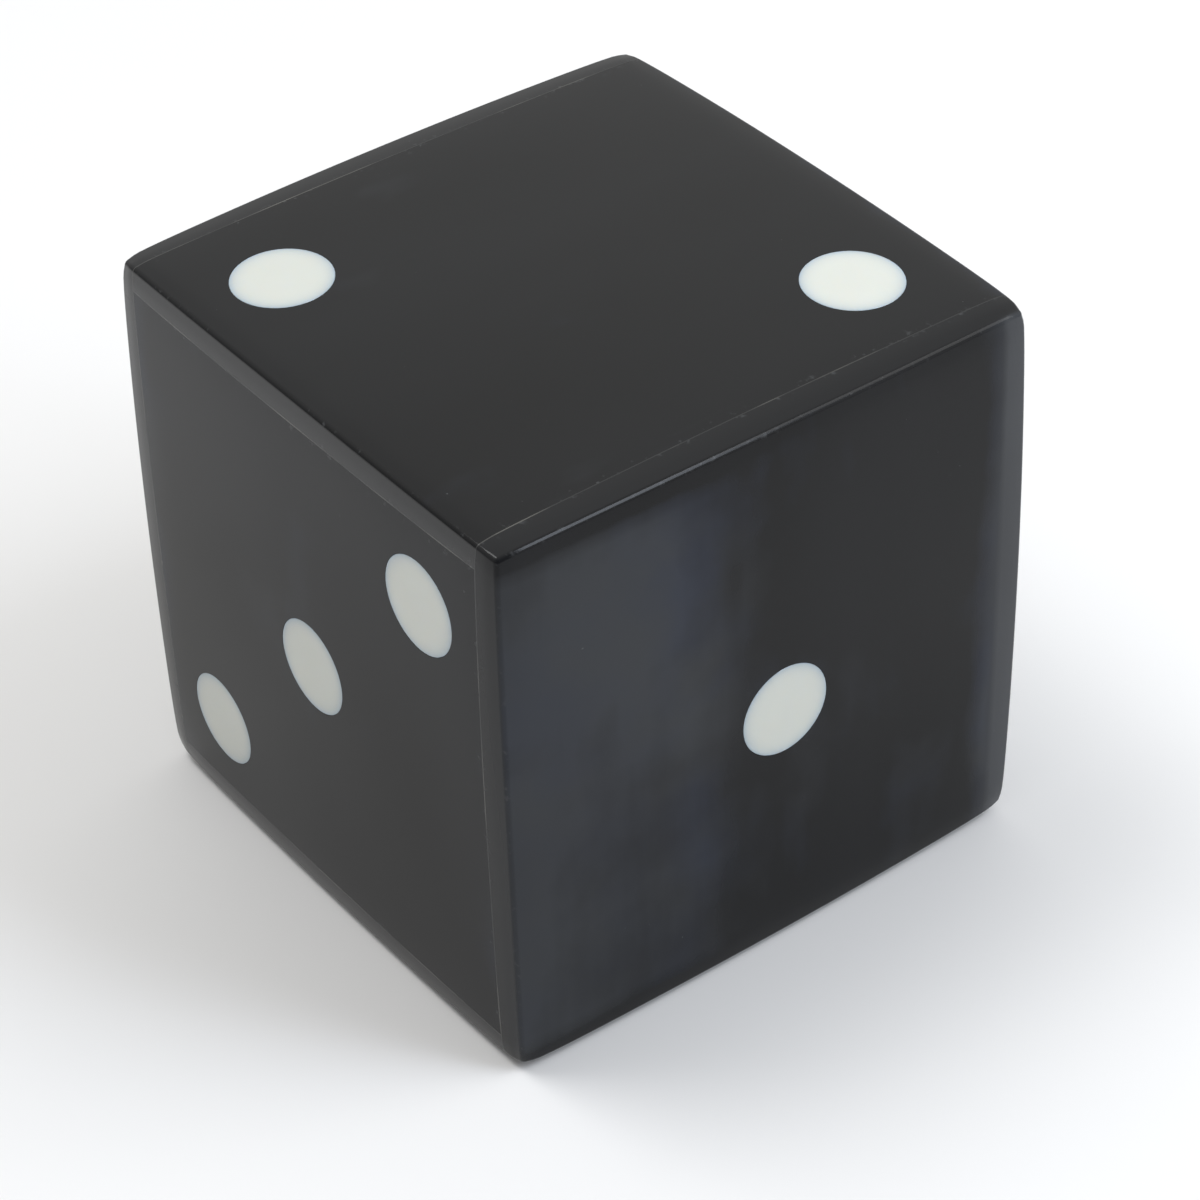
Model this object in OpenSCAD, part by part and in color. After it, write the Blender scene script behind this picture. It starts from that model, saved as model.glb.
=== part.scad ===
// Large decorative die: six black polished sheets glued round a laminated board core,
// with round white spots let flush into the sheets.
//
// The origin is the middle of the bottom face. +Z is up, -Y is the front and -X is the left.
// The one is on the front, the two on top and the three on the left, as on a right-handed die,
// so opposite faces add up to seven.

/* [Die] */
// Width, depth and height over the outer faces
die_size = 75; // [70:1:100]
// Radius that the outer edges are buffed to
edge_radius = 1.2; // [0.5:0.1:2.5]

/* [Facing sheets] */
// Thickness of each black sheet
sheet_thickness = 4; // [3:0.5:5]
// How much thicker the front sheet is than the others, because it was buffed down less
front_sheet_extra = 0.5; // [0:0.1:1]
// Thickness of the cured glue film behind each sheet
glue_thickness = 0.15; // [0.1:0.05:0.3]

/* [Core] */
// Number of boards laminated into the core
core_board_count = 4; // [2:1:6]

/* [Spots] */
// Diameter of a white spot
spot_diameter = 12; // [8:0.5:13]
// Thickness of a spot, from the face to the bottom of its blind hole
spot_depth = 2.5; // [1:0.5:2.5]
// Room left round a spot for glue, on the radius
spot_clearance = 0.05; // [0.02:0.01:0.2]
// Distance of the outer spots from the middle of the face, both ways, as a share of the die's size
spot_offset_share = 0.3; // [0.22:0.01:0.3]

/* [Hand setting] */
// How far the one sits right of and above the middle of its face, [right, up]
one_shift = [1, -2.2]; // [-3:0.1:3]
// How far the back left spot of the two sits from its regular place, [right, back]
two_back_shift = [-2.4, -2.5]; // [-3:0.1:2]
// How far the front right spot of the two sits from its regular place, [right, back]
two_front_shift = [1.6, 1.6]; // [-2:0.1:3]

/* [Hidden] */
$fn = 96;
half_size = die_size / 2;
wrap = sheet_thickness + glue_thickness;
core_size = die_size - 2 * wrap;
core_depth = core_size - front_sheet_extra;
// How far the core's middle lies behind the die's middle
core_setback = front_sheet_extra / 2;
board_thickness = core_size / core_board_count;
spot_radius = spot_diameter / 2;
spot_offset = spot_offset_share * die_size;

// Every face: its name, the turn that takes +Z to its outward side, the width and height of its
// sheet, the value that its spots show, and how far right of and above the middle of the face the
// sheet's own middle lies. The front and back sheets run the whole way, the top and bottom sheets
// lie between them, and the side sheets fill what is left.
FRONT = ["front", [90, 0, 0], [die_size, die_size], 1, [0, 0]];
BACK = ["back", [90, 0, 180], [die_size, die_size], 6, [0, 0]];
TOP = ["top", [0, 0, 0], [die_size, core_depth], 2, [0, core_setback]];
BOTTOM = ["bottom", [180, 0, 0], [die_size, core_depth], 5, [0, -core_setback]];
LEFT = ["left", [90, 0, -90], [core_depth, core_size], 3, [-core_setback, 0]];
RIGHT = ["right", [90, 0, 90], [core_depth, core_size], 4, [core_setback, 0]];
FACES = [FRONT, BACK, TOP, BOTTOM, LEFT, RIGHT];

// The regular place of every spot for each value, in steps of spot_offset, and its own shift.
CORNERS = [[-1, 1], [1, 1], [-1, -1], [1, -1]];
MIDDLE = [0, 0];
PLACES = [
  [],
  [MIDDLE],
  [[-1, 1], [1, -1]],
  [[1, 1], MIDDLE, [-1, -1]],
  CORNERS,
  concat(CORNERS, [MIDDLE]),
  concat(CORNERS, [[-1, 0], [1, 0]])
];

function face_name(face) = face[0];
function face_turn(face) = face[1];
function sheet_width(face) = face[2][0];
function sheet_height(face) = face[2][1];
function face_value(face) = face[3];
function sheet_middle(face) = face[4];
function thickness(face) = sheet_thickness + (face == FRONT ? front_sheet_extra : 0);

function hand_shift(value, i) =
  value == 1 ? one_shift :
  value == 2 && i == 0 ? two_back_shift :
  value == 2 ? two_front_shift : [0, 0];
function spot_place(face, i) =
  spot_offset * PLACES[face_value(face)][i] + hand_shift(face_value(face), i);

function sheet_name(face) = str(face_name(face), "_sheet");
function glue_name(face) = str(face_name(face), "_glue_film");
function board_name(i) = str("core_board_", i);
function spot_name(face, i) = str("spot_", face_value(face), "_", i + 1);

// Moves its children from the plane z = 0 to the outer plane of a face, with +Z pointing out.
module on_face(face) {
  translate([0, 0, half_size])
    rotate(face_turn(face))
      translate([0, 0, half_size])
        children();
}

// A square of the die's size with round corners.
module rounded_square() {
  straight = die_size - 2 * edge_radius;
  square([straight, die_size], center = true);
  square([die_size, straight], center = true);
  for (x = [-1, 1], y = [-1, 1])
    translate([x, y] * straight / 2)
      circle(r = edge_radius);
}

module rounded_bar() {
  linear_extrude(height = die_size, center = true)
    rounded_square();
}

// The whole outer shape, with all twelve edges buffed round.
module buffed_block() {
  translate([0, 0, half_size])
    intersection() {
      rounded_bar();
      rotate([90, 0, 0]) rounded_bar();
      rotate([0, 90, 0]) rounded_bar();
    }
}

// A flat layer parallel to a face, cut to the size of that face's sheet.
module layer(face, depth, height) {
  middle = sheet_middle(face);
  on_face(face)
    translate([middle[0], middle[1], -depth - height / 2])
      cube([sheet_width(face), sheet_height(face), height], center = true);
}

// A round plug or hole going in from a face, at the place of one spot.
module spot_plug(face, i, radius, above) {
  place = spot_place(face, i);
  on_face(face)
    translate([place[0], place[1], -spot_depth])
      cylinder(r = radius, h = spot_depth + above);
}

module sheet(face) {
  color([0.1, 0.1, 0.11])
    difference() {
      intersection() {
        buffed_block();
        layer(face, 0, thickness(face));
      }
      for (i = [0 : face_value(face) - 1])
        spot_plug(face, i, spot_radius + spot_clearance, 1);
    }
}

module glue_film(face) {
  color([0.55, 0.56, 0.58])
    intersection() {
      buffed_block();
      layer(face, thickness(face), glue_thickness);
    }
}

module core_board(i) {
  color([0.62, 0.48, 0.33])
    translate([0, core_setback, wrap + (i - 0.5) * board_thickness])
      cube([core_size, core_depth, board_thickness], center = true);
}

module spot(face, i) {
  color([0.93, 0.94, 0.9])
    spot_plug(face, i, spot_radius, 0);
}

for (face = FACES)
  sheet(face);
for (face = FACES)
  glue_film(face);
for (i = [1 : core_board_count])
  core_board(i);
for (face = FACES, i = [0 : face_value(face) - 1])
  spot(face, i);
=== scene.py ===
"""A large black decorative die with white spots, dressed for close viewing.

Six polished black sheets are glued round a board core, and white spots are let flush into them.
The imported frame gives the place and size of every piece. This script rebuilds the visible pieces
as smooth solids with hand-buffed faces and edges, gives each one its finish, and lights them.
"""

import logging
import math
import random
from collections.abc import Callable, Iterator
from dataclasses import dataclass, field
from enum import Enum

import bpy
import numpy as np
from mathutils import Matrix, Vector


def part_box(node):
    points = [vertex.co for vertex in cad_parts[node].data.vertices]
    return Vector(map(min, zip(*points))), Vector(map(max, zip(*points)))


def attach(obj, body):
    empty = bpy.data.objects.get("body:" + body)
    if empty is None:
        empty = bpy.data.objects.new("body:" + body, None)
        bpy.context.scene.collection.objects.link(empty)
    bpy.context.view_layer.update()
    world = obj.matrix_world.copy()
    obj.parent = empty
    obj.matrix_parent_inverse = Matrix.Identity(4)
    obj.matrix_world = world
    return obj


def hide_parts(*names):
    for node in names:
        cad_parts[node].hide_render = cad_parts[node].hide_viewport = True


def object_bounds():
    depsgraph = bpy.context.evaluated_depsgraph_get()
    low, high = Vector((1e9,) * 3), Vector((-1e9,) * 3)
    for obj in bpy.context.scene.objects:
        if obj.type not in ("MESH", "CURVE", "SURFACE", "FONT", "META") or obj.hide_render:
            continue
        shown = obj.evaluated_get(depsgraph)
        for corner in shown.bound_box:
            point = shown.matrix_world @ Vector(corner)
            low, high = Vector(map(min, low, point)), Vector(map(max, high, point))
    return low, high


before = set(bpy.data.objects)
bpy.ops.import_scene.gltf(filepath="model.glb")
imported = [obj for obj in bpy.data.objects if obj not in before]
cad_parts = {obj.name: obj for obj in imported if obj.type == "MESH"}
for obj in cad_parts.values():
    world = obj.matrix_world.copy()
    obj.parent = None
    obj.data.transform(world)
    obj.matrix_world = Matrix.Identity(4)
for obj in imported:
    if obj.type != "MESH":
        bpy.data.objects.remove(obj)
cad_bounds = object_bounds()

log = logging.getLogger("die")

BODY = "root"
MM = 0.001

# Places closer than this count as the same, in metres.
NEARLY = 1e-6
# The greatest height of a face's polishing waves.
WAVE_PEAK = 1.5

Colour = tuple[float, float, float]
Triple = tuple[float, float, float]
Socket = bpy.types.NodeSocket

# The names of the values that the meshes carry for their finishes.
RIM_SHARE = "rim_share"
EDGE_WEAR = "edge_wear"
# Where a sheet gets a pale painted reflection.
PAINTED_REFLECTION = "haze"
# Where a sheet's exposed ends are painted lighter, as painted reflection.
PAINTED_END_SHEEN = "painted_end_sheen"


class Side(Enum):
    """A face of the die, as three directions: to its right, up it, and out of it."""

    FRONT = ((1, 0, 0), (0, 0, 1), (0, -1, 0))
    BACK = ((-1, 0, 0), (0, 0, 1), (0, 1, 0))
    TOP = ((1, 0, 0), (0, 1, 0), (0, 0, 1))
    BOTTOM = ((1, 0, 0), (0, -1, 0), (0, 0, -1))
    LEFT = ((0, -1, 0), (0, 0, 1), (-1, 0, 0))
    RIGHT = ((0, 1, 0), (0, 0, 1), (1, 0, 0))

    @property
    def turn(self) -> np.ndarray:
        """The matrix whose rows are the right, up and out directions."""
        return np.array(self.value, float)

    @property
    def label(self) -> str:
        """The face's plain name."""
        return self.name.lower()


# Painted light and shade in three spots' tones: the front spot is painted darker and the two top
# spots are painted apart, as the light falls on them. The others vary by chance.
SPOT_PAINTED_LIGHT = {
    "spot_1_1": 0.93,
    "spot_2_1": 0.985,
    "spot_2_2": 1.045,
}
SPOT_TONE_RANGE = (0.93, 1.03)
SPOT_TONE_SEED = 21

SPOT_COUNT = {
    Side.FRONT: 1,
    Side.TOP: 2,
    Side.LEFT: 3,
    Side.RIGHT: 4,
    Side.BOTTOM: 5,
    Side.BACK: 6,
}


# --------------------------------------------------------------------------- shape


def smooth_step(share: np.ndarray) -> np.ndarray:
    """Eases a share from 0 to 1, and clamps it."""
    share = np.clip(share, 0, 1)
    return share * share * (3 - 2 * share)


def filled(marks: list[float], coarse: float, fine: float, fine_from: float) -> list[float]:
    """Adds stations between marks so that no gap is too wide.

    Args:
        marks: The stations that have to be there.
        coarse: The widest gap allowed, in metres.
        fine: The widest gap allowed near the die's edges, in metres.
        fine_from: Where the finer gaps start, as a distance from the middle, in metres.

    Returns:
        All the stations in order.
    """
    ordered = sorted(set(round(mark, 9) for mark in marks))
    stations = [ordered[0]]
    for low, high in zip(ordered, ordered[1:]):
        near_edge = min(abs(low), abs(high)) > fine_from
        steps = max(1, math.ceil((high - low) / (fine if near_edge else coarse) - 1e-6))
        stations += [low + (high - low) * step / steps for step in range(1, steps + 1)]
    return stations


@dataclass(frozen=True)
class WornEdge:
    """An edge of the die whose face was buffed further down towards one of the edge's ends.

    The depth, and where the wear starts and how far on it is full, are shares of the half width.
    """

    face: Side
    neighbour: Side
    end: Side
    depth: float
    power: int = 14
    starts_at: float = -0.9
    full_after: float = 1.4

    def fall(self, points: np.ndarray) -> np.ndarray:
        """How far the face falls away at each place.

        Args:
            points: Places from the die's middle, in half widths.

        Returns:
            The fall for each place, in half widths.
        """
        near = np.clip(points @ self.neighbour.turn[2], 0, 1) ** self.power
        along = smooth_step((points @ self.end.turn[2] - self.starts_at) / self.full_after)
        return self.depth * near * along


@dataclass(frozen=True)
class BuffedBlock:
    """The die's outer shape: a cube buffed slightly round on its faces and along its edges.

    Lengths are in metres, and crown, edge_drop and waviness are shares of the half width.
    """

    middle: Vector
    half: float
    sheet_thickness: float
    arris_radius: float = 0.52 * MM
    crown: float = 0.0125
    edge_drop: float = 0.0075
    edge_power: int = 14
    waviness: float = 0.0005
    wave_count: float = 2.3
    worn_edges: tuple[WornEdge, ...] = ()
    arc_steps: int = 4
    coarse_gap: float = 1.6 * MM
    fine_gap: float = 0.55 * MM
    fine_band: float = 5.0 * MM

    def round_arrises(self, points: np.ndarray) -> np.ndarray:
        """Bends the sharp edges of a cube onto its arris radius.

        Args:
            points: Places on or in the sharp cube, from its middle, in half widths.

        Returns:
            The same places on or in the rounded cube.
        """
        flat = 1 - self.arris_radius / self.half
        inner = np.clip(points, -flat, flat)
        over = points - inner
        length = np.linalg.norm(over, axis=1, keepdims=True)
        longest = np.abs(over).max(axis=1, keepdims=True)
        scale = np.divide(longest, length, out=np.ones_like(length), where=length > 1e-12)
        return inner + over * scale

    def drop(self, along: np.ndarray) -> np.ndarray:
        """How far a face falls away at a distance from its middle line, in half widths."""
        return self.crown * along**2 + self.edge_drop * np.abs(along) ** self.edge_power

    def waves(self, points: np.ndarray, axis: int) -> np.ndarray:
        """The slight unevenness that hand polishing leaves on the faces across one axis.

        The wave lengths and turns have nothing in common, so that no pattern shows.

        Args:
            points: Places from the die's middle, in half widths.
            axis: The axis that the two faces lie across.

        Returns:
            The height for each place, from about -1.5 to 1.5.
        """
        a = points[:, (axis + 1) % 3] * self.wave_count
        b = points[:, (axis + 2) % 3] * self.wave_count
        phase = 1.7 * axis + np.sign(points[:, axis])
        return np.sin(2.1 * a + phase) * np.cos(1.6 * b - phase) + 0.5 * np.sin(3.1 * a - 2.3 * b)

    def buffed(self, places: np.ndarray) -> np.ndarray:
        """Takes places on the sharp block to their places on the buffed one.

        Only the outer sheet's thickness bends, so the glued planes behind it stay flat.

        Args:
            places: One row for each place, in metres, in the die's own frame.

        Returns:
            The buffed places, in metres.
        """
        sharp = (places - np.array(self.middle)) / self.half
        rounded = self.round_arrises(sharp)
        result = rounded.copy()
        glue_plane = 1 - self.sheet_thickness / self.half
        for axis in range(3):
            height = np.abs(rounded[:, axis])
            share = smooth_step((height - glue_plane) / (1 - glue_plane))
            fall = self.drop(rounded[:, (axis + 1) % 3]) + self.drop(rounded[:, (axis + 2) % 3])
            fall += self.waviness * (WAVE_PEAK + self.waves(rounded, axis)) * (height > glue_plane)
            result[:, axis] -= np.sign(rounded[:, axis]) * share * fall
        for edge in self.worn_edges:
            outward = edge.face.turn[2]
            share = smooth_step((rounded @ outward - glue_plane) / (1 - glue_plane))
            result -= (share * edge.fall(rounded))[:, None] * outward
        return result * self.half + np.array(self.middle)

    def arc_marks(self) -> list[float]:
        """Divides an arris's arc evenly.

        Returns:
            Distances from the die's middle, in metres.
        """
        flat = self.half - self.arris_radius
        turns = (math.pi / 4 * step / self.arc_steps for step in range(self.arc_steps + 1))
        return [flat + self.arris_radius * math.tan(turn) for turn in turns]

    def local_range(self, box: tuple[Vector, Vector], side: Side) -> np.ndarray:
        """Turns a box to a side's own directions.

        Args:
            box: The box's lowest and highest corners, in the die's frame.
            side: The side whose directions are the local axes.

        Returns:
            Its lowest and highest local coordinates, one row for each local axis.
        """
        corners = np.array([tuple(corner) for corner in box])
        local = (corners - np.array(self.middle)) @ side.turn.T
        return np.sort(local, axis=0).T

    def stations(self, low: float, high: float, marks: list[float], margin: float) -> list[float]:
        """Finds the lines that a piece's corners lie on along one local axis.

        Args:
            low: The piece's lowest local coordinate.
            high: Its highest local coordinate.
            marks: Lines that it needs besides its ends and its rounded arrises.
            margin: How far before an arris's arc one more line lies, or 0 for none.

        Returns:
            The lines' local coordinates in order.
        """
        arc = self.arc_marks()
        if margin:
            arc = [arc[0] - margin, *arc]
        marks = [low, high, *marks]
        if high > self.half - NEARLY:
            marks += arc
        if low < -self.half + NEARLY:
            marks += [-mark for mark in arc]
        return filled(marks, self.coarse_gap, self.fine_gap, self.half - self.fine_band)


class SolidMesh:
    """The corners and faces of one closed solid. A corner is made once for each key."""

    def __init__(self, side: Side, middle: Vector) -> None:
        """Starts an empty solid.

        Args:
            side: The side of the die whose axes are the solid's local ones.
            middle: The die's middle, where the local coordinates start.
        """
        self.side = side
        self.middle = np.array(middle)
        self.index: dict[tuple, int] = {}
        self.points: list[Triple] = []
        self.faces: list[tuple[int, ...]] = []

    def corner(self, key: tuple, right: float, up: float, out: float) -> int:
        """Finds the corner with a key, and makes it if it's new.

        Args:
            key: What tells this corner from the solid's others.
            right: The corner's local coordinate to the right.
            up: Its local coordinate upwards.
            out: Its local coordinate outwards.

        Returns:
            The corner's number.
        """
        if key not in self.index:
            self.index[key] = len(self.points)
            self.points.append((right, up, out))
        return self.index[key]

    def wall(self, lower: list[int], upper: list[int], inward: bool = False) -> None:
        """Joins two closed loops of corners with a band of faces.

        Args:
            lower: The loop nearer the glued side, anticlockwise seen from outside the die.
            upper: The loop nearer the polished side.
            inward: Whether the band lines a hole and so faces its axis.
        """
        count = len(lower)
        for here in range(count):
            after = (here + 1) % count
            band = (lower[here], lower[after], upper[after], upper[here])
            self.faces.append(band[::-1] if inward else band)

    def places(self) -> np.ndarray:
        """Every corner's place in the die's frame, before buffing."""
        return np.array(self.points) @ self.side.turn + self.middle

    def build(self, name: str, block: BuffedBlock, sharp_angle: float = 32.0) -> bpy.types.Object:
        """Makes the solid as an object with smooth, buffed surfaces.

        Args:
            name: The new piece's name.
            block: The shape that the solid's corners are buffed to.
            sharp_angle: Edges that turn by more degrees than this stay crisp.

        Returns:
            The new object, in the die's frame.
        """
        mesh = bpy.data.meshes.new(name)
        mesh.from_pydata(block.buffed(self.places()).tolist(), [], self.faces)
        mesh.validate()
        mesh.shade_smooth()
        mesh.set_sharp_from_angle(angle=math.radians(sharp_angle))
        piece = bpy.data.objects.new(name, mesh)
        bpy.context.scene.collection.objects.link(piece)
        return piece


def carry(piece: bpy.types.Object, name: str, values: np.ndarray) -> None:
    """Stores one number for each corner of a piece, for its finish to read."""
    layer = piece.data.attributes.new(name, "FLOAT", "POINT")
    layer.data.foreach_set("value", values.astype(np.float32))


def nearest(lines: list[float], place: float) -> int:
    """The number of the line that is closest to a place."""
    return int(np.argmin(np.abs(np.array(lines) - place)))


def ring_of(i: int, j: int) -> int:
    """The square ring that a lattice corner lies on, counted from the lattice's middle."""
    return max(abs(i), abs(j))


def ring_direction(i: int, j: int) -> tuple[float, float]:
    """The direction of a lattice corner once its square ring is drawn as an even circle.

    Args:
        i: The corner's column, counted from the lattice's middle.
        j: The corner's row, counted from the lattice's middle.

    Returns:
        The direction to the right and up.
    """
    ring = ring_of(i, j)
    if ring == 0:
        return 0.0, 0.0
    if abs(i) == ring:
        turn = math.pi / 4 * j / ring
        return math.copysign(math.cos(turn), i), math.sin(turn)
    turn = math.pi / 4 * i / ring
    return math.sin(turn), math.copysign(math.cos(turn), j)


def cell_corners(i: int, j: int) -> list[tuple[int, int]]:
    """The corners of one cell of a lattice, anticlockwise from its lower left one."""
    return [(i, j), (i + 1, j), (i + 1, j + 1), (i, j + 1)]


def ring_loop(ring: int) -> list[tuple[int, int]]:
    """Goes round a square ring of the lattice.

    Args:
        ring: The ring, counted from the lattice's middle.

    Returns:
        Its corners' columns and rows, anticlockwise from the lower left one.
    """
    run = range(-ring, ring)
    return (
        [(i, -ring) for i in run]
        + [(ring, j) for j in run]
        + [(-i, ring) for i in run]
        + [(-ring, -j) for j in run]
    )


# --------------------------------------------------------------------------- finishes


class Combine(Enum):
    """How two values are made into one."""

    ADD = "ADD"
    SUBTRACT = "SUBTRACT"
    MULTIPLY = "MULTIPLY"
    MAXIMUM = "MAXIMUM"
    POWER = "POWER"


@dataclass(frozen=True)
class Pattern:
    """A soft noise, and the range that its values from low to high are spread over.

    The size is in features for each metre.
    """

    size: float
    detail: float
    low: float
    high: float
    start: float = 0.0
    end: float = 1.0


class NodeBench:
    """A short way to lay out the nodes of a material or of the room's light."""

    def __init__(self, owner: bpy.types.Material | bpy.types.World) -> None:
        """Starts a bench.

        Args:
            owner: The new material or room to work on.
        """
        owner.use_nodes = True
        self.tree = owner.node_tree
        in_room = isinstance(owner, bpy.types.World)
        self.shader = self.tree.nodes["Background" if in_room else "Principled BSDF"]

    def add(self, kind: str, **settings: object) -> bpy.types.Node:
        """Adds a node and sets its properties.

        Args:
            kind: The node's type, without its ShaderNode prefix.
            settings: The node's own properties by name, but not its sockets.

        Returns:
            The new node.
        """
        node = self.tree.nodes.new("ShaderNode" + kind)
        for name, value in settings.items():
            setattr(node, name, value)
        return node

    def join(self, source: Socket, target: Socket) -> None:
        """Links one socket to another."""
        self.tree.links.new(source, target)

    def set(self, **numbers: object) -> None:
        """Sets the shader's own sockets.

        Args:
            numbers: The constant for each socket, named with _ for each space.
        """
        for name, number in numbers.items():
            self.shader.inputs[name.replace("_", " ")].default_value = number

    def feed(self, name: str, source: Socket) -> None:
        """Links a value to one of the shader's own sockets."""
        self.join(source, self.shader.inputs[name])

    def place(self, scale: Triple, shift: Vector) -> Socket:
        """The piece's own coordinates, scaled and shifted for a pattern.

        Args:
            scale: How much each coordinate is scaled by.
            shift: What is then added to it.

        Returns:
            The coordinates.
        """
        coordinates = self.add("TexCoord")
        mapping = self.add("Mapping")
        mapping.inputs["Scale"].default_value = scale
        mapping.inputs["Location"].default_value = shift
        self.join(coordinates.outputs["Object"], mapping.inputs["Vector"])
        return mapping.outputs["Vector"]

    def noise(self, at: Socket, size: float, detail: float = 2.0) -> Socket:
        """A soft noise from 0 to 1.

        Args:
            at: The coordinates that it follows.
            size: Its scale, in features for each metre.
            detail: How many finer layers it has.

        Returns:
            The noise.
        """
        noise = self.add("TexNoise")
        noise.inputs["Scale"].default_value = size
        noise.inputs["Detail"].default_value = detail
        self.join(at, noise.inputs["Vector"])
        return noise.outputs["Fac"]

    def pattern(self, at: Socket, pattern: Pattern) -> Socket:
        """A pattern that follows some coordinates."""
        noise = self.noise(at, pattern.size, pattern.detail)
        return self.span(noise, pattern.low, pattern.high, pattern.start, pattern.end)

    def span(self, value: Socket, low: float, high: float, start: float, end: float) -> Socket:
        """Maps a value from one range onto another, and clamps it.

        Args:
            value: The value.
            low: Where its range starts.
            high: Where its range ends.
            start: What the low end becomes.
            end: What the high end becomes.

        Returns:
            The mapped value.
        """
        span = self.add("MapRange")
        ends = {"From Min": low, "From Max": high, "To Min": start, "To Max": end}
        for name, number in ends.items():
            span.inputs[name].default_value = number
        self.join(value, span.inputs["Value"])
        return span.outputs["Result"]

    def math(self, operation: Combine, a: Socket, b: Socket | float) -> Socket:
        """Combines a value with another value or a number.

        Args:
            operation: What is done with the two.
            a: The first value.
            b: The second value or number.

        Returns:
            The outcome.
        """
        node = self.add("Math", operation=operation.value)
        self.join(a, node.inputs[0])
        if isinstance(b, Socket):
            self.join(b, node.inputs[1])
        else:
            node.inputs[1].default_value = b
        return node.outputs[0]

    def blend(self, share: Socket, first: Socket | Colour, second: Socket | Colour) -> Socket:
        """Mixes two colours.

        Args:
            share: How much of the second colour there is.
            first: The first colour, as a socket or as red, green and blue.
            second: The second colour, given the same way.

        Returns:
            The mixed colour.
        """
        mix = self.add("Mix", data_type="RGBA")
        self.join(share, mix.inputs["Factor"])
        for socket, colour in ((mix.inputs[6], first), (mix.inputs[7], second)):
            if isinstance(colour, Socket):
                self.join(colour, socket)
            else:
                socket.default_value = (*colour, 1.0)
        return mix.outputs[2]

    def carried(self, name: str) -> Socket:
        """A number that the mesh carries for its finish."""
        return self.add("Attribute", attribute_name=name).outputs["Fac"]

    def bump(self, height: Socket, depth: float) -> None:
        """Raises the surface by a height pattern.

        Args:
            height: The pattern, from 0 to 1.
            depth: How far its full height raises the surface, in metres.
        """
        bump = self.add("Bump")
        bump.inputs["Strength"].default_value = 1.0
        bump.inputs["Distance"].default_value = depth
        self.join(height, bump.inputs["Height"])
        self.feed("Normal", bump.outputs["Normal"])


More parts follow.
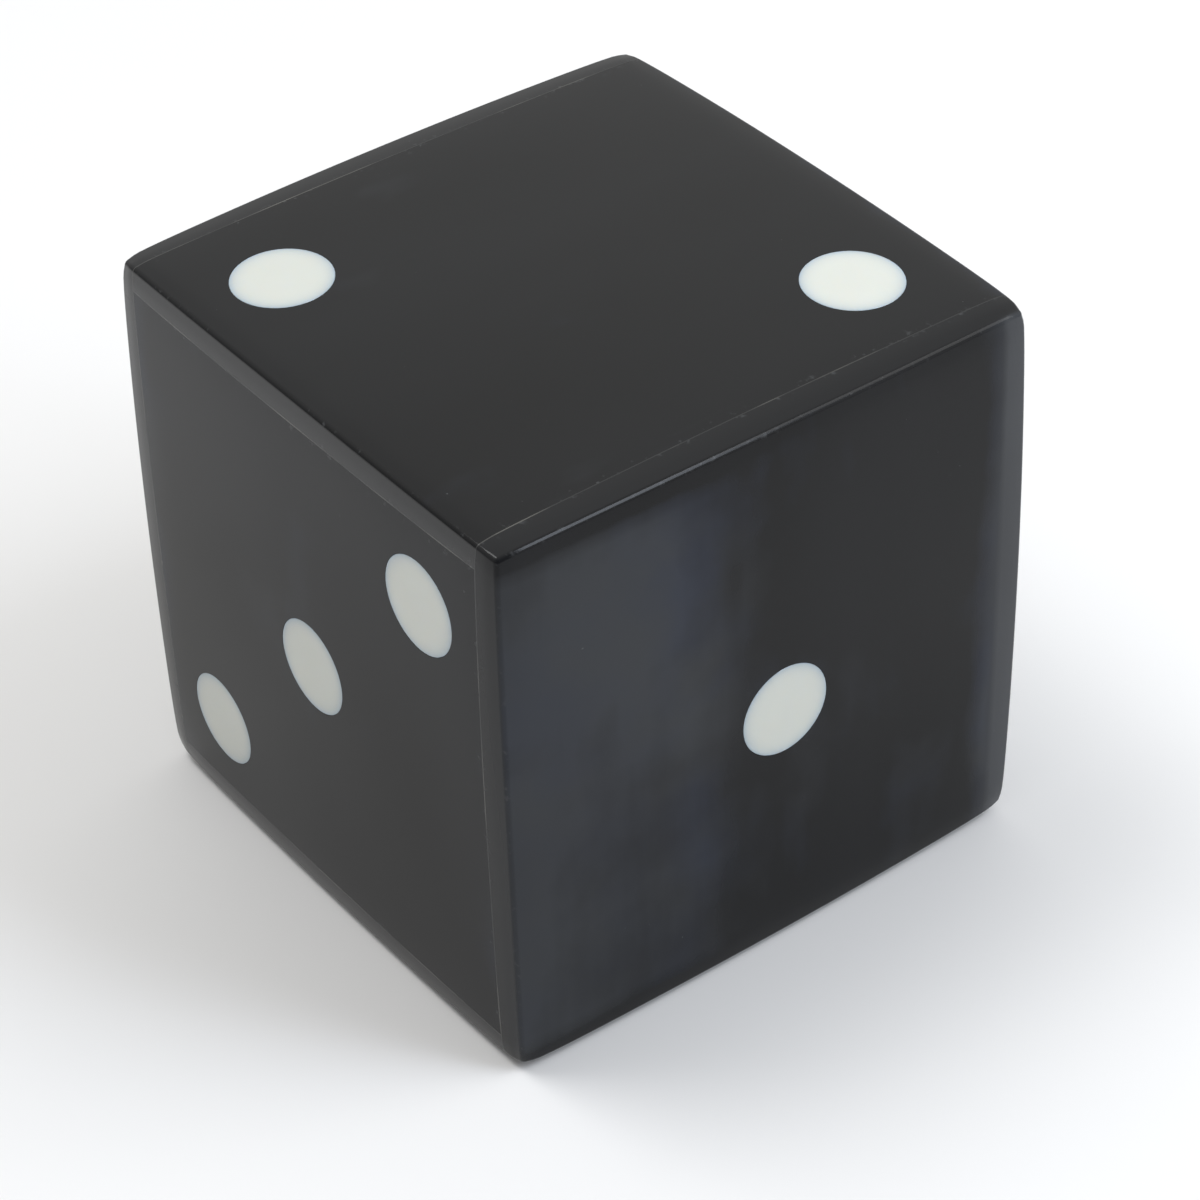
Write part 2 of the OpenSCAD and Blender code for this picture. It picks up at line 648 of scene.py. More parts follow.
@dataclass(frozen=True)
class PolishedBlack:
    """Polished black sheet with faint clouding, fine scratches, pale specks, and painted reflection
    in pale bands, rims and on its exposed ends.
    """

    dark: Colour = (0.0045, 0.0047, 0.0052)
    cloudy: Colour = (0.0085, 0.0090, 0.0105)
    # The milky tones are partly random clouding and partly painted reflection; the rim tone is
    # painted reflection only.
    milky_and_reflection: Colour = (0.0322, 0.0352, 0.0400)
    milky_and_reflection_blue: Colour = (0.0210, 0.0270, 0.0456)
    painted_rim_reflection: Colour = (0.0505, 0.0535, 0.0585)
    # A lighter tone painted on the exposed ends, as painted reflection.
    painted_end_sheen: Colour = (0.0185, 0.0188, 0.0195)
    speck: Colour = (0.12, 0.125, 0.13)
    roughness: float = 0.12
    refraction: float = 1.38
    clouds: Pattern = Pattern(26.0, 3.0, 0.38, 0.66)
    cloud_stretch: Triple = (1.0, 1.0, 1.0)
    shift: Vector = field(default_factory=lambda: Vector((0, 0, 0)))
    streaks: Pattern = Pattern(160.0, 3.0, 0.25, 0.75, -0.18, 0.18)
    blotches: Pattern = Pattern(48.0, 4.0, 0.25, 0.75, -0.4, 0.4)
    banks: Pattern = Pattern(30.0, 2.0, 0.3, 0.7, 0.8, 1.1)
    milky_and_reflection_span: tuple[float, float] = (0.12, 0.95)
    blue_patches: Pattern = Pattern(55.0, 3.0, 0.42, 0.60)
    blue_span: tuple[float, float] = (0.45, 1.0)
    blue_left: float = 0.1
    painted_rim_reflection_span: tuple[float, float] = (0.92, 1.15)
    dust: Pattern = Pattern(1500.0, 2.0, 0.79, 0.83, 0, 0.5)
    nicks: Pattern = Pattern(1100.0, 3.0, 0.60, 0.74, 0, 0.4)
    hairs: Pattern = Pattern(1.0, 2.0, 0.70, 0.76)
    hair_scale: Triple = (60, 900, 900)
    crossing: Pattern = Pattern(1.0, 2.0, 0.72, 0.78)
    crossing_scale: Triple = (900, 70, 900)
    smears: Pattern = Pattern(70.0, 4.0, 0.3, 0.7, -0.025, 0.035)
    scratch_roughness: float = 0.12
    wear_roughness: float = 0.03
    ripple_size: float = 240.0
    ripple_share: float = 0.6
    scratch_share: float = 0.5
    relief: float = 0.004 * MM

    def material(self, name: str) -> bpy.types.Material:
        """Makes the finish as a material.

        Args:
            name: The material's name.

        Returns:
            The new material.
        """
        material = bpy.data.materials.new(name)
        bench = NodeBench(material)
        even = bench.place((1, 1, 1), self.shift)
        worn = bench.carried(EDGE_WEAR)
        dust = bench.pattern(even, self.dust)
        nicks = bench.math(Combine.MULTIPLY, bench.pattern(even, self.nicks), worn)
        pale = bench.math(Combine.MAXIMUM, dust, nicks)
        bench.feed("Base Color", bench.blend(pale, self.clouding(bench, even), self.speck))

        hairs = bench.pattern(bench.place(self.hair_scale, self.shift), self.hairs)
        crossing = bench.pattern(bench.place(self.crossing_scale, self.shift), self.crossing)
        scratches = bench.math(Combine.MAXIMUM, hairs, crossing)
        rough = bench.math(Combine.MULTIPLY, scratches, self.scratch_roughness)
        rough = bench.math(Combine.ADD, rough, bench.pattern(even, self.smears))
        wear = bench.math(Combine.MULTIPLY, worn, self.wear_roughness)
        rough = bench.math(Combine.ADD, rough, wear)
        bench.feed("Roughness", bench.math(Combine.ADD, rough, self.roughness))

        ripple = bench.noise(even, self.ripple_size)
        ripple = bench.math(Combine.MULTIPLY, ripple, self.ripple_share)
        cuts = bench.math(Combine.MULTIPLY, scratches, self.scratch_share)
        bench.bump(bench.math(Combine.SUBTRACT, ripple, cuts), self.relief)
        bench.set(IOR=self.refraction)
        return material

    def clouding(self, bench: NodeBench, even: Socket) -> Socket:
        """Lays out the sheet's colour, from clear black through milky clouding to painted
        reflection, without its specks.

        Args:
            bench: The material's bench.
            even: The piece's own coordinates, unstretched.

        Returns:
            The colour.
        """
        drawn = bench.place(self.cloud_stretch, self.shift)
        clear = bench.blend(bench.pattern(drawn, self.clouds), self.dark, self.cloudy)
        # The carried amount paints a pale reflection onto the sheet; the noises make its border
        # ragged.
        haze = bench.carried(PAINTED_REFLECTION)
        edge = bench.math(Combine.ADD, haze, bench.pattern(drawn, self.streaks))
        edge = bench.math(Combine.ADD, edge, bench.pattern(even, self.blotches))
        ragged = bench.span(edge, *self.milky_and_reflection_span, 0, 1)
        milky_and_reflection = bench.math(Combine.MULTIPLY, ragged, bench.pattern(even, self.banks))
        fringe = bench.span(haze, *self.blue_span, 1, self.blue_left)
        blue = bench.math(Combine.MULTIPLY, bench.pattern(even, self.blue_patches), fringe)
        milky_and_reflection_tint = bench.blend(blue, self.milky_and_reflection, self.milky_and_reflection_blue)
        # The brightest rims are painted reflection only.
        at_painted_rim = bench.span(haze, *self.painted_rim_reflection_span, 0, 1)
        base = bench.blend(milky_and_reflection, clear, bench.blend(at_painted_rim, milky_and_reflection_tint, self.painted_rim_reflection))
        # The exposed ends are painted lighter, as painted reflection.
        return bench.blend(bench.carried(PAINTED_END_SHEEN), base, self.painted_end_sheen)


@dataclass(frozen=True)
class WhiteInlay:
    """Warm white inlay, painted cooler and darker towards its rim as painted shade for the light
    lost into the black around it.
    """

    tone: float = 1.0
    centre: Colour = (0.643, 0.664, 0.613)
    # The rim colour is painted shade.
    rim: Colour = (0.37, 0.45, 0.51)
    rim_shade_power: float = 9.0
    mottled: Colour = (0.62, 0.60, 0.48)
    mottle: Pattern = Pattern(260.0, 4.0, 0.35, 0.75, 0, 0.10)
    roughness: float = 0.16
    smears: Pattern = Pattern(420.0, 3.0, 0.3, 0.7, -0.03, 0.04)
    ripple_size: float = 500.0
    relief: float = 0.004 * MM
    refraction: float = 1.5
    light_inside: float = 0.25
    light_reach: Triple = (1.0, 0.7, 0.45)
    light_depth: float = 1.2 * MM

    def material(self, name: str) -> bpy.types.Material:
        """Makes the finish as a material.

        Args:
            name: The material's name.

        Returns:
            The new material.
        """
        material = bpy.data.materials.new(name)
        bench = NodeBench(material)
        # Painted shade: the colour darkens and cools towards the rim.
        rim_shade_share = bench.math(Combine.POWER, bench.carried(RIM_SHARE), self.rim_shade_power)
        centre = tuple(self.tone * share for share in self.centre)
        rim = tuple(self.tone * share for share in self.rim)
        body = bench.blend(rim_shade_share, centre, rim)
        even = bench.place((1, 1, 1), Vector((0, 0, 0)))
        bench.feed("Base Color", bench.blend(bench.pattern(even, self.mottle), body, self.mottled))
        rough = bench.pattern(even, self.smears)
        bench.feed("Roughness", bench.math(Combine.ADD, rough, self.roughness))
        bench.bump(bench.noise(even, self.ripple_size), self.relief)
        bench.set(
            IOR=self.refraction,
            Subsurface_Weight=self.light_inside,
            Subsurface_Radius=self.light_reach,
            Subsurface_Scale=self.light_depth,
        )
        return material


@dataclass(frozen=True)
class CuredGlue:
    """Clear adhesive that shows as a fine grey line, broken where the sheets meet closely."""

    hidden: Colour = (0.014, 0.015, 0.016)
    grey: Colour = (0.098, 0.095, 0.086)
    fleck: Colour = (0.42, 0.42, 0.40)
    shift: Triple = (0.3, 0.1, 0.2)
    breaks: Pattern = Pattern(75.0, 8.0, 0.47, 0.64, 0.03, 1)
    flecks: Pattern = Pattern(420.0, 2.0, 0.70, 0.78, 0, 0.5)
    roughness: float = 0.3
    smears: Pattern = Pattern(300.0, 2.0, 0.3, 0.7, -0.06, 0.12)
    ripple_size: float = 900.0
    relief: float = 0.01 * MM
    refraction: float = 1.48

    def material(self, name: str) -> bpy.types.Material:
        """Makes the finish as a material.

        Args:
            name: The material's name.

        Returns:
            The new material.
        """
        material = bpy.data.materials.new(name)
        bench = NodeBench(material)
        even = bench.place((1, 1, 1), Vector(self.shift))
        line = bench.blend(bench.pattern(even, self.breaks), self.hidden, self.grey)
        bench.feed("Base Color", bench.blend(bench.pattern(even, self.flecks), line, self.fleck))
        rough = bench.pattern(even, self.smears)
        bench.feed("Roughness", bench.math(Combine.ADD, rough, self.roughness))
        bench.bump(bench.noise(even, self.ripple_size), self.relief)
        bench.set(IOR=self.refraction)
        return material


@dataclass(frozen=True)
class Fibreboard:
    """Sanded medium-density fibreboard, brown and fuzzy."""

    brown: Colour = (0.34, 0.22, 0.12)
    pale: Colour = (0.52, 0.38, 0.23)
    fibre_scale: Triple = (700, 700, 2600)
    fibre_detail: float = 5.0
    fibre_share: float = 0.7
    layer_scale: Triple = (20, 20, 420)
    layer_share: float = 0.3
    grain_span: tuple[float, float] = (0.35, 0.65)
    fibre_span: tuple[float, float] = (0.3, 0.7)
    roughness: float = 0.85
    unevenness: float = 0.1
    relief: float = 0.05 * MM

    def material(self, name: str) -> bpy.types.Material:
        """Makes the finish as a material.

        Args:
            name: The material's name.

        Returns:
            The new material.
        """
        material = bpy.data.materials.new(name)
        bench = NodeBench(material)
        fibres = bench.place(self.fibre_scale, Vector((0, 0, 0)))
        fibres = bench.noise(fibres, 1.0, self.fibre_detail)
        layers = bench.noise(bench.place(self.layer_scale, Vector((0, 0, 0))), 1.0)
        grain = bench.math(
            Combine.ADD,
            bench.math(Combine.MULTIPLY, fibres, self.fibre_share),
            bench.math(Combine.MULTIPLY, layers, self.layer_share),
        )
        shade = bench.span(grain, *self.grain_span, 0, 1)
        bench.feed("Base Color", bench.blend(shade, self.brown, self.pale))
        low, high = self.roughness - self.unevenness, self.roughness + self.unevenness
        bench.feed("Roughness", bench.span(fibres, *self.fibre_span, low, high))
        bench.bump(fibres, self.relief)
        return material


# --------------------------------------------------------------------------- pieces


@dataclass(frozen=True)
class SpotPlace:
    """One spot's node and its place on its face, in metres from the face's middle."""

    node: str
    right: float
    up: float
    radius: float
    depth: float


@dataclass
class SpotLattice:
    """How a square patch of a sheet's lattice closes round a spot."""

    cells: int = 16
    hole_ring: int = 6
    half_width: float = 8.2 * MM
    glue_gap: float = 0.03 * MM

    @property
    def half_cells(self) -> int:
        """The ring that the patch's outer border lies on."""
        return self.cells // 2

    def marks(self, middle: float) -> list[float]:
        """The stations that the patch needs along one direction."""
        step = self.half_width / self.half_cells
        return [middle + step * i for i in range(-self.half_cells, self.half_cells + 1)]

    def corner_place(self, spot: SpotPlace, i: int, j: int) -> tuple[float, float]:
        """Where a corner of the patch lies, between the round hole and the square border.

        Args:
            spot: The spot that the patch closes round.
            i: The corner's column, counted from the spot's middle.
            j: The corner's row, counted from the spot's middle.

        Returns:
            The corner's place to the right and up, in metres.
        """
        step = self.half_width / self.half_cells
        share = (ring_of(i, j) - self.hole_ring) / (self.half_cells - self.hole_ring)
        toward = ring_direction(i, j)
        radius = spot.radius + self.glue_gap
        right = (1 - share) * radius * toward[0] + share * step * i
        up = (1 - share) * radius * toward[1] + share * step * j
        return spot.right + right, spot.up + up


@dataclass(frozen=True)
class Haze:
    """Where a sheet gets painted reflection rather than staying deep black, in half widths from its
    middle.
    """

    left_until: float = -0.9
    right_from: float = 0.95
    softness: float = 0.35
    left_strength: float = 1.0
    right_strength: float = 1.0
    clear_edge: float = 0.1
    clear_share: float = 0.4

    def amount(self, right: np.ndarray, up: np.ndarray) -> np.ndarray:
        """How much painted reflection the sheet gets at each place.

        Args:
            right: Places to the right of the middle, in half widths.
            up: Places above the middle, in half widths.

        Returns:
            A number for each place, from 0 where the sheet is clear black.
        """
        leftward = smooth_step((self.left_until + self.softness / 2 - right) / self.softness)
        rightward = smooth_step((right - self.right_from) / (1 - self.right_from))
        inside = smooth_step((1 - np.abs(up)) / self.clear_edge - self.clear_share)
        return leftward * self.left_strength * inside + rightward * self.right_strength


@dataclass
class FacingSheet:
    """One polished black sheet, with round blind holes for its spots."""

    side: Side
    block: BuffedBlock
    finish: PolishedBlack
    spots: list[SpotPlace]
    haze: Haze = field(default_factory=Haze)
    lattice: SpotLattice = field(default_factory=SpotLattice)
    arris_margin: float = 0.12 * MM
    wear_band: float = 0.6 * MM
    # How deep the painted reflection on the exposed ends reaches, in half widths.
    painted_end_sheen_depth: float = 0.02

    @property
    def node(self) -> str:
        """The CAD node that this sheet stands for."""
        return f"{self.side.label}_sheet"

    def local_range(self) -> np.ndarray:
        """The sheet's lowest and highest local coordinates, one row for each local axis."""
        return self.block.local_range(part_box(self.node), self.side)

    def stations(self, low: float, high: float, patches: list[float]) -> list[float]:
        """The lattice lines along one local axis.

        Args:
            low: The lowest local coordinate.
            high: The highest local coordinate.
            patches: The middles of the spot patches along this axis.

        Returns:
            The lines' local coordinates in order.
        """
        marks = [mark for middle in patches for mark in self.lattice.marks(middle)]
        return self.block.stations(low, high, marks, self.arris_margin)

    def patch_corner(self, columns: list[float], rows: list[float]) -> dict[tuple[int, int], tuple]:
        """Finds each lattice corner that belongs to a spot's patch.

        Args:
            columns: The lattice's lines to the right.
            rows: The lattice's lines upwards.

        Returns:
            For each corner in a patch, its spot and its column and row within the patch.
        """
        found = {}
        for spot in self.spots:
            column, row = nearest(columns, spot.right), nearest(rows, spot.up)
            reach = range(-self.lattice.half_cells, self.lattice.half_cells + 1)
            for i in reach:
                for j in reach:
                    found[column + i, row + j] = (spot, i, j)
        return found

    def build(self) -> bpy.types.Object:
        """Makes the sheet, and puts it in the place of its CAD node.

        Returns:
            The finished piece.
        """
        (left, right), (low, high), (glued, polished) = self.local_range()
        columns = self.stations(left, right, sorted({round(s.right, 6) for s in self.spots}))
        rows = self.stations(low, high, sorted({round(s.up, 6) for s in self.spots}))
        levels = self.stations(glued, polished, [])
        patch = self.patch_corner(columns, rows)
        solid = SolidMesh(self.side, self.block.middle)

        def skin(column: int, row: int) -> int:
            """Finds the polished surface's corner at one crossing of the lattice.

            Args:
                column: The crossing's column.
                row: The crossing's row.

            Returns:
                The corner's number.
            """
            place = columns[column], rows[row]
            if (column, row) in patch:
                spot, i, j = patch[column, row]
                if ring_of(i, j) >= self.lattice.hole_ring:
                    place = self.lattice.corner_place(spot, i, j)
            return solid.corner((column, row, len(levels) - 1), *place, polished)

        self.cover_skin(solid, skin, patch, len(columns) - 1, len(rows) - 1)
        self.close_sides(solid, columns, rows, levels)
        for spot in self.spots:
            self.bore(solid, spot, skin, columns, rows, polished)
        piece = solid.build(f"polished_{self.side.label}_sheet", self.block)
        carry(piece, EDGE_WEAR, self.edge_wear(solid))
        local = np.array(solid.points) / self.block.half
        # A pale reflection painted on in bands at the left and rims at the right.
        carry(piece, PAINTED_REFLECTION, self.haze.amount(local[:, 0], local[:, 1]))
        # The exposed ends are painted lighter, as painted reflection.
        carry(piece, PAINTED_END_SHEEN, smooth_step((1 - local[:, 2]) / self.painted_end_sheen_depth))
        piece.data.materials.append(self.finish.material(f"polished_black_{self.side.label}"))
        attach(piece, BODY)
        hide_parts(self.node)
        return piece

    def cover_skin(
        self,
        solid: SolidMesh,
        skin: Callable[[int, int], int],
        patch: dict[tuple[int, int], tuple],
        column_count: int,
        row_count: int,
    ) -> None:
        """Adds the polished surface, and leaves out the cells over the holes.

        Args:
            solid: The solid to add to.
            skin: Gives the surface's corner at a crossing.
            patch: The crossings that belong to spot patches.
            column_count: How many cells the lattice has to the right.
            row_count: How many cells it has upwards.
        """
        for column in range(column_count):
            for row in range(row_count):
                around = cell_corners(column, row)
                in_patch = [patch[corner] for corner in around if corner in patch]
                over_hole = len(in_patch) == 4 and all(
                    ring_of(i, j) <= self.lattice.hole_ring for _, i, j in in_patch
                )
                if not over_hole:
                    solid.faces.append(tuple(skin(*corner) for corner in around))

    def close_sides(
        self, solid: SolidMesh, columns: list[float], rows: list[float], levels: list[float]
    ) -> None:
        """Adds the sheet's four sides and its flat glued face.

        Args:
            solid: The solid to add to.
            columns: The lattice's lines to the right.
            rows: The lattice's lines upwards.
            levels: The lattice's lines from the glued face to the polished one.
        """
        last_column, last_row = len(columns) - 1, len(rows) - 1
        border = (
            [(i, 0) for i in range(last_column)]
            + [(last_column, j) for j in range(last_row)]
            + [(i, last_row) for i in range(last_column, 0, -1)]
            + [(0, j) for j in range(last_row, 0, -1)]
        )
        loops = [
            [solid.corner((i, j, level), columns[i], rows[j], out) for i, j in border]
            for level, out in enumerate(levels)
        ]
        for lower, upper in zip(loops, loops[1:]):
            solid.wall(lower, upper)
        solid.faces.append(tuple(reversed(loops[0])))

    def bore(
        self,
        solid: SolidMesh,
        spot: SpotPlace,
        skin: Callable[[int, int], int],
        columns: list[float],
        rows: list[float],
        polished: float,
    ) -> None:
        """Adds the wall and the floor of one blind hole.

        Args:
            solid: The solid to add to.
            spot: The spot that sits in the hole.
            skin: Gives the surface's corner at a crossing.
            columns: The lattice's lines to the right.
            rows: The lattice's lines upwards.
            polished: The polished surface's local height.
        """
        column, row = nearest(columns, spot.right), nearest(rows, spot.up)
        ring = ring_loop(self.lattice.hole_ring)
        mouth = [skin(column + i, row + j) for i, j in ring]
        floor = [
            solid.corner(
                (spot.node, i, j), *self.lattice.corner_place(spot, i, j), polished - spot.depth
            )
            for i, j in ring
        ]
        solid.wall(floor, mouth, inward=True)
        solid.faces.append(tuple(floor))

    def edge_wear(self, solid: SolidMesh) -> np.ndarray:
        """How close each corner is to an edge of the die or to a glued joint.

        Args:
            solid: The sheet before it is buffed.

        Returns:
            A number for each corner, from 0 well away to 1 on the edge or joint.
        """
        away = self.block.half - np.abs(solid.places() - np.array(self.block.middle))
        closest = np.sort(away, axis=1)[:, 1]
        local = np.array(solid.points)
        for axis, bounds in enumerate(self.local_range()):
            for bound in bounds:
                if abs(abs(bound) - self.block.half) > NEARLY:
                    closest = np.minimum(closest, np.abs(local[:, axis] - bound))
        return np.clip(1 - closest / self.wear_band, 0, 1)


@dataclass
class InlaidSpot:
    """One white spot: a round plug whose polished end is flush with its sheet."""

    side: Side
    block: BuffedBlock
    spot: SpotPlace
    finish: WhiteInlay
    rings: int = 6
    rim_radius: float = 0.04 * MM

    def build(self) -> bpy.types.Object:
        """Makes the spot, and puts it in the place of its CAD node.

        Returns:
            The finished piece.
        """
        solid = SolidMesh(self.side, self.block.middle)
        spot, top = self.spot, self.block.half

        def face_corner(i: int, j: int) -> int:
            """Finds a corner of the spot's round polished end.

            Args:
                i: The corner's column, counted from the spot's middle.
                j: The corner's row, counted from the spot's middle.

            Returns:
                The corner's number.
            """
            toward = ring_direction(i, j)
            radius = (spot.radius - self.rim_radius) * ring_of(i, j) / self.rings
            return solid.corner(
                ("face", i, j), spot.right + radius * toward[0], spot.up + radius * toward[1], top
            )

        for i in range(-self.rings, self.rings):
            for j in range(-self.rings, self.rings):
                around = cell_corners(i, j)
                solid.faces.append(tuple(face_corner(*corner) for corner in around))
        border = ring_loop(self.rings)
        upper = [face_corner(i, j) for i, j in border]
        for label, height in (("rim", top - self.rim_radius), ("floor", top - spot.depth)):
            lower = []
            for i, j in border:
                toward = ring_direction(i, j)
                lower.append(
                    solid.corner(
                        (label, i, j),
                        spot.right + spot.radius * toward[0],
                        spot.up + spot.radius * toward[1],
                        height,
                    )
                )
            solid.wall(lower, upper)
            upper = lower
        solid.faces.append(tuple(reversed(upper)))
        shares = [
            math.hypot(right - spot.right, up - spot.up) / spot.radius
            for right, up, _ in solid.points
        ]
        piece = solid.build(f"inlaid_{spot.node}", self.block)
        carry(piece, RIM_SHARE, np.clip(np.array(shares), 0, 1))
        piece.data.materials.append(self.finish.material(f"white_inlay_{spot.node}"))
        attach(piece, BODY)
        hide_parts(spot.node)
        return piece


@dataclass
class GlueLine:
    """The cured glue behind one sheet, which shows as a line where it meets the outside."""

    side: Side
    block: BuffedBlock
    material: bpy.types.Material

    @property
    def node(self) -> str:
        """The CAD node that this film stands for."""
        return f"{self.side.label}_glue_film"

    def build(self) -> bpy.types.Object:
        """Makes the film, and puts it in the place of its CAD node.

        Returns:
            The finished piece.
        """
        ranges = self.block.local_range(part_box(self.node), self.side)
        columns = self.block.stations(*ranges[0], [], 0)
        rows = self.block.stations(*ranges[1], [], 0)
        solid = SolidMesh(self.side, self.block.middle)
        border = (
            [(right, rows[0]) for right in columns[:-1]]
            + [(columns[-1], up) for up in rows[:-1]]
            + [(right, rows[-1]) for right in columns[:0:-1]]
            + [(columns[0], up) for up in rows[:0:-1]]
        )
        loops = [
            [solid.corner((right, up, out), right, up, out) for right, up in border]
            for out in ranges[2]
        ]
        solid.wall(*loops)
        solid.faces.append(tuple(reversed(loops[0])))
        solid.faces.append(tuple(loops[1]))
        piece = solid.build(f"cured_{self.side.label}_glue_line", self.block)
        piece.data.materials.append(self.material)
        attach(piece, BODY)
        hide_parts(self.node)
        return piece


@dataclass
class BoardCore:
    """The laminated boards inside, which keep their CAD shape and get their finish."""

    finish: Fibreboard = field(default_factory=Fibreboard)

    def dress(self) -> list[bpy.types.Object]:
        """Gives every core board its finish.

        Returns:
            The dressed boards.
        """
        material = self.finish.material("sanded_fibreboard")
        boards = [board for name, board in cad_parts.items() if name.startswith("core_board")]
        for board in boards:
            board.data.materials.clear()
            board.data.materials.append(material)
        return boards


@dataclass
class Die:
    """The whole die: its block shape, its sheets, spots and glue lines, and its core."""

    sheet_finishes: dict[Side, PolishedBlack]
    sheet_painted_reflection: dict[Side, Haze]
    worn_edges: tuple[WornEdge, ...]

    def block(self) -> BuffedBlock:
        """Takes the die's sizes from the frame.

        Returns:
            The die's outer shape.
        """
        low, high = (Vector(corner) for corner in cad_bounds)
        glued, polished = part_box("top_sheet")
        return BuffedBlock(
            middle=(low + high) / 2,
            half=(high.x - low.x) / 2,
            sheet_thickness=polished.z - glued.z,
            worn_edges=self.worn_edges,
        )

    def spots_on(self, side: Side, block: BuffedBlock) -> list[SpotPlace]:
        """Reads the places of one face's spots from the frame.

        Args:
            side: The face.
            block: The die's outer shape.

        Returns:
            One place for each spot on the face.
        """
        spots = []
        for number in range(1, SPOT_COUNT[side] + 1):
            node = f"spot_{SPOT_COUNT[side]}_{number}"
            low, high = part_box(node)
            right, up, _ = side.turn @ np.array((low + high) / 2 - block.middle)
            across, _, depth = np.abs(side.turn @ np.array(high - low))
            spots.append(SpotPlace(node, right, up, across / 2, depth))
        return spots

    def build(self) -> Iterator[bpy.types.Object]:
        """Makes every visible piece in turn.

        Yields:
            Each finished piece.
        """
        block = self.block()
        chance = random.Random(SPOT_TONE_SEED)
        glue = CuredGlue().material("cured_glue")
        for side in Side:
            spots = self.spots_on(side, block)
            haze = self.sheet_painted_reflection.get(side, Haze())
            yield FacingSheet(side, block, self.sheet_finishes[side], spots, haze).build()
            yield GlueLine(side, block, glue).build()
            for spot in spots:
                tone = chance.uniform(*SPOT_TONE_RANGE)
                # Three spots take a painted light and shade tone; the others a random one.
                inlay = WhiteInlay(tone=SPOT_PAINTED_LIGHT.get(spot.node, tone))
                yield InlaidSpot(side, block, spot, inlay).build()
        yield from BoardCore().dress()


# --------------------------------------------------------------------------- studio


@dataclass(frozen=True)
class Softbox:
    """A square of soft light that faces the die."""

    name: str
    direction: Triple
    distance: float
    width: float
    height: float
    power: float
    turn: float = 0.0
    tint: Colour = (1.0, 1.0, 1.0)

    def hang(self, target: Vector) -> bpy.types.Object:
        """Places the light and turns it to the die.

        Args:
            target: The point that the light faces.

        Returns:
            The light.
        """
        lamp = bpy.data.lights.new(self.name, "AREA")
        lamp.shape = "RECTANGLE"
        lamp.size = self.width
        lamp.size_y = self.height
        lamp.energy = self.power
        lamp.color = self.tint
        light = bpy.data.objects.new(self.name, lamp)
        light.location = target + Vector(self.direction).normalized() * self.distance
        facing = (target - light.location).to_track_quat("-Z", "Y").to_matrix()
        light.rotation_euler = (facing @ Matrix.Rotation(self.turn, 3, "Z")).to_euler()
        bpy.context.scene.collection.objects.link(light)
        return light


@dataclass
class Studio:
    """The plain pale floor, the soft lights and the camera."""

    target: Vector
    camera_place: Vector
    camera_aim: Vector
    camera_roll: float
    lens: float
    softboxes: tuple[Softbox, ...]
    floor_size: float = 8.0
    floor_tone: Colour = (0.88, 0.875, 0.87)
    floor_mottle: float = 0.98
    floor_pattern_size: float = 9.0
    floor_roughness: float = 0.9
    floor_shine: float = 0.1
    window_tone: Colour = (0.74, 0.74, 0.73)
    room_tone: Colour = (0.25, 0.25, 0.255)
    window_toward: Triple = (0.30, 0.45, 0.84)
    window_span: tuple[float, float] = (0.15, 0.72)
    glow_tone: Colour = (1.25, 1.27, 1.30)
    glow_toward: Triple = (0.52, -0.82, 0.24)
    glow_span: tuple[float, float] = (0.90, 0.985)

    def lay_floor(self) -> None:
        """Lays the plain pale floor under the die."""
        reach = self.floor_size / 2
        mesh = bpy.data.meshes.new("pale_floor")
        corners = [(-reach, -reach, 0), (reach, -reach, 0), (reach, reach, 0), (-reach, reach, 0)]
        mesh.from_pydata(corners, [], [(0, 1, 2, 3)])
        floor = bpy.data.objects.new("pale_floor", mesh)
        paper = bpy.data.materials.new("pale_paper")
        bench = NodeBench(paper)
        mottle = bench.noise(bench.place((1, 1, 1), Vector((0, 0, 0))), self.floor_pattern_size)
        darker = tuple(self.floor_mottle * tone for tone in self.floor_tone)
        bench.feed("Base Color", bench.blend(mottle, self.floor_tone, darker))
        bench.set(Roughness=self.floor_roughness, Specular_IOR_Level=self.floor_shine)
        mesh.materials.append(paper)
        bpy.context.scene.collection.objects.link(floor)

    def fill_room(self) -> None:
        """Sets the soft light from all round, which is brighter behind the die on its right."""
        world = bpy.data.worlds.new("studio_room")
        bench = NodeBench(world)
        tone = self.room_tone
        for toward, reach, lit in (
            (self.window_toward, self.window_span, self.window_tone),
            (self.glow_toward, self.glow_span, self.glow_tone),
        ):
            nearness = bench.add("VectorMath", operation="DOT_PRODUCT")
            nearness.inputs[1].default_value = toward
            bench.join(bench.add("TexCoord").outputs["Generated"], nearness.inputs[0])
            tone = bench.blend(bench.span(nearness.outputs["Value"], *reach, 0, 1), tone, lit)
        bench.feed("Color", tone)
        bpy.context.scene.world = world

    def set_camera(self) -> None:
        """Places the camera and makes it the scene's own."""
        lens = bpy.data.cameras.new("studio_camera")
        lens.lens = self.lens
        lens.sensor_width = 36.0
        camera = bpy.data.objects.new("studio_camera", lens)
        forward = (self.camera_aim - self.camera_place).normalized()
        level = forward.cross(Vector((0, 0, 1))).normalized()
        right = Matrix.Rotation(self.camera_roll, 3, forward) @ level
        up = right.cross(forward)
        turn = Matrix((right, up, -forward)).transposed()
        camera.matrix_world = Matrix.Translation(self.camera_place) @ turn.to_4x4()
        bpy.context.scene.collection.objects.link(camera)
        bpy.context.scene.camera = camera

    def set_up(self) -> None:
        """Sets up the floor, the room, the softboxes and the camera."""
        self.lay_floor()
        self.fill_room()
        for softbox in self.softboxes:
            softbox.hang(self.target)
        self.set_camera()
        bpy.context.scene.view_settings.view_transform = "Standard"


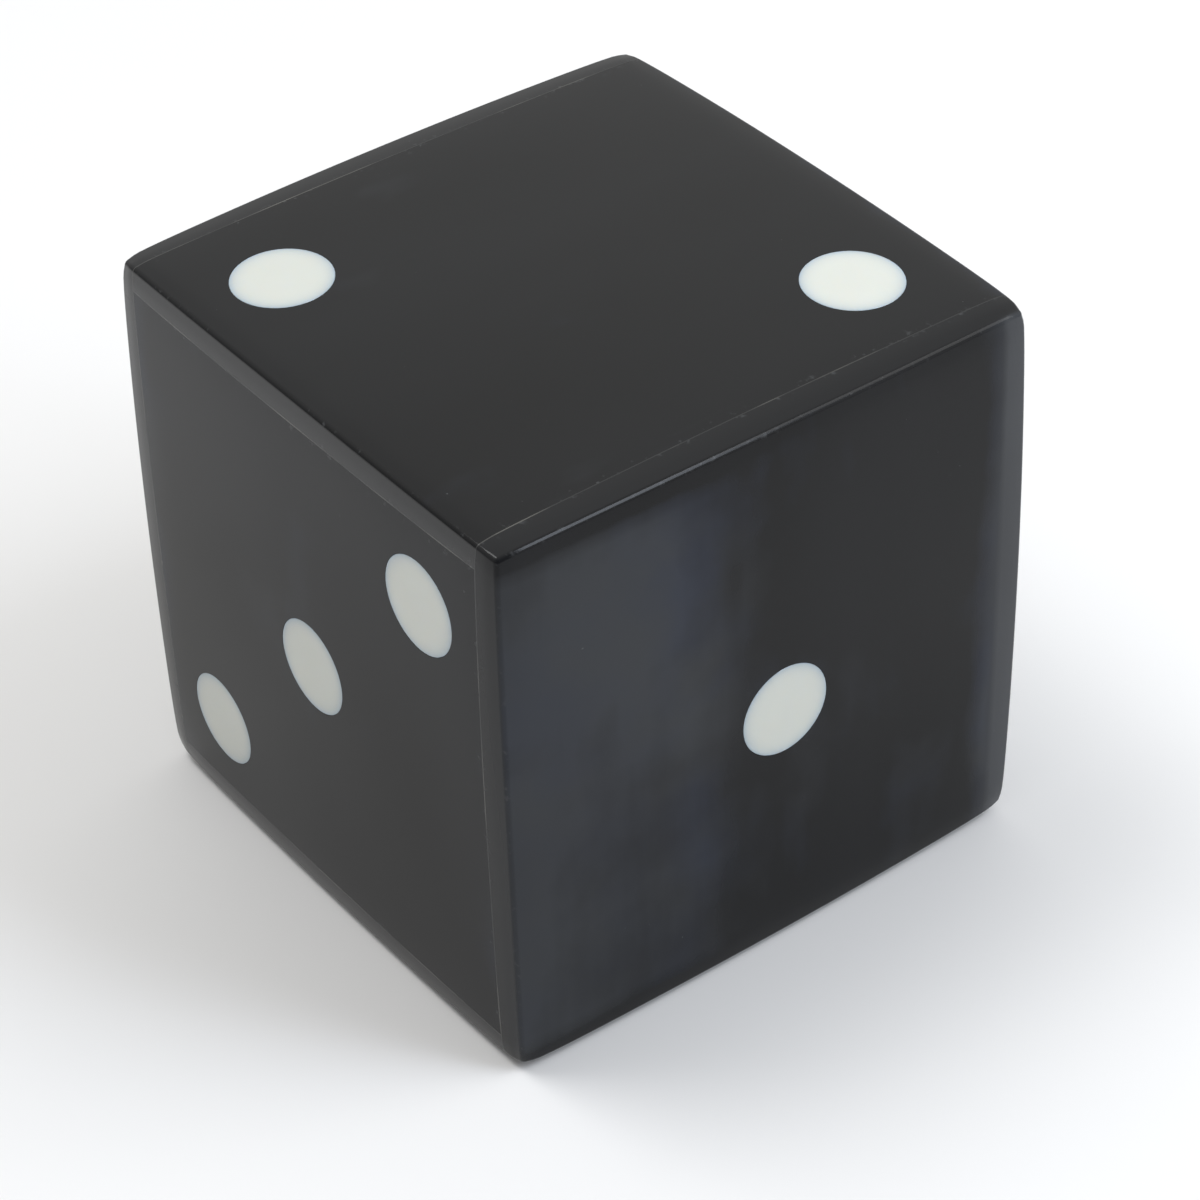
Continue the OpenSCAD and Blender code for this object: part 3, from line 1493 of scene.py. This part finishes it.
def sheet_finishes() -> dict[Side, PolishedBlack]:
    """Gives each sheet its own finish: the same polish, clouded from another place.

    Returns:
        The finish for each side.
    """
    upright, lengthwise = (1.0, 1.0, 0.12), (0.4, 1.0, 1.0)
    return {
        Side.FRONT: PolishedBlack(
            refraction=1.275, cloud_stretch=upright, shift=Vector((0.11, 0.0, 0.05))
        ),
        Side.BACK: PolishedBlack(
            refraction=1.34, cloud_stretch=upright, shift=Vector((0.53, 0.2, 0.15))
        ),
        Side.TOP: PolishedBlack(
            cloudy=(0.0068, 0.0072, 0.0081),
            blotches=Pattern(48.0, 4.0, 0.25, 0.75, -0.1, 0.1),
            cloud_stretch=lengthwise,
            shift=Vector((0.27, 0.6, 0.31)),
        ),
        Side.BOTTOM: PolishedBlack(cloud_stretch=lengthwise, shift=Vector((0.71, 0.3, 0.9))),
        Side.LEFT: PolishedBlack(
            refraction=1.275, cloud_stretch=upright, shift=Vector((0.35, 0.8, 0.45))
        ),
        Side.RIGHT: PolishedBlack(
            refraction=1.275, cloud_stretch=upright, shift=Vector((0.93, 0.5, 0.6))
        ),
    }


def main() -> None:
    """Builds the die and its studio, and reports each piece."""
    logging.basicConfig(level=logging.INFO, format="%(name)s: %(message)s")
    die = Die(
        sheet_finishes=sheet_finishes(),
        # Painted reflection on the sheets: pale bands at the left and bright rims at the right,
        # strongest on the front.
        sheet_painted_reflection={
            Side.FRONT: Haze(
                left_until=-0.22,
                softness=0.7,
                left_strength=0.9,
                right_from=0.72,
                right_strength=1.7,
            ),
            Side.BACK: Haze(left_until=-0.7, right_from=0.85),
            Side.TOP: Haze(left_strength=0.0, right_from=0.92, right_strength=0.3),
        },
        worn_edges=(WornEdge(Side.TOP, Side.FRONT, Side.RIGHT, depth=0.0095),),
    )
    for piece in die.build():
        log.info("%s: %d faces", piece.name, len(piece.data.polygons))
    Studio(
        target=Vector((0.0, 0.0, 37.5 * MM)),
        camera_place=Vector((-0.2162, -0.3016, 0.3213)),
        camera_aim=Vector((-0.0006, -0.0051, 0.0319)),
        camera_roll=math.radians(1.92),
        lens=119.2,
        softboxes=(
            Softbox("overhead", (-0.25, 0.30, 0.92), 1.1, width=0.45, height=0.45, power=4.2),
            Softbox(
                "tall_front",
                (0.375, -0.600, 0.707),
                1.0,
                width=0.25,
                height=0.60,
                power=3.9,
                turn=math.radians(-22),
                tint=(0.82, 0.89, 1.0),
            ),
            Softbox(
                "side_fill",
                (0.615, -0.407, 0.676),
                1.0,
                width=0.35,
                height=0.5,
                power=1.5,
                turn=math.radians(-22),
            ),
        ),
    ).set_up()


if __name__ == "__main__":
    main()
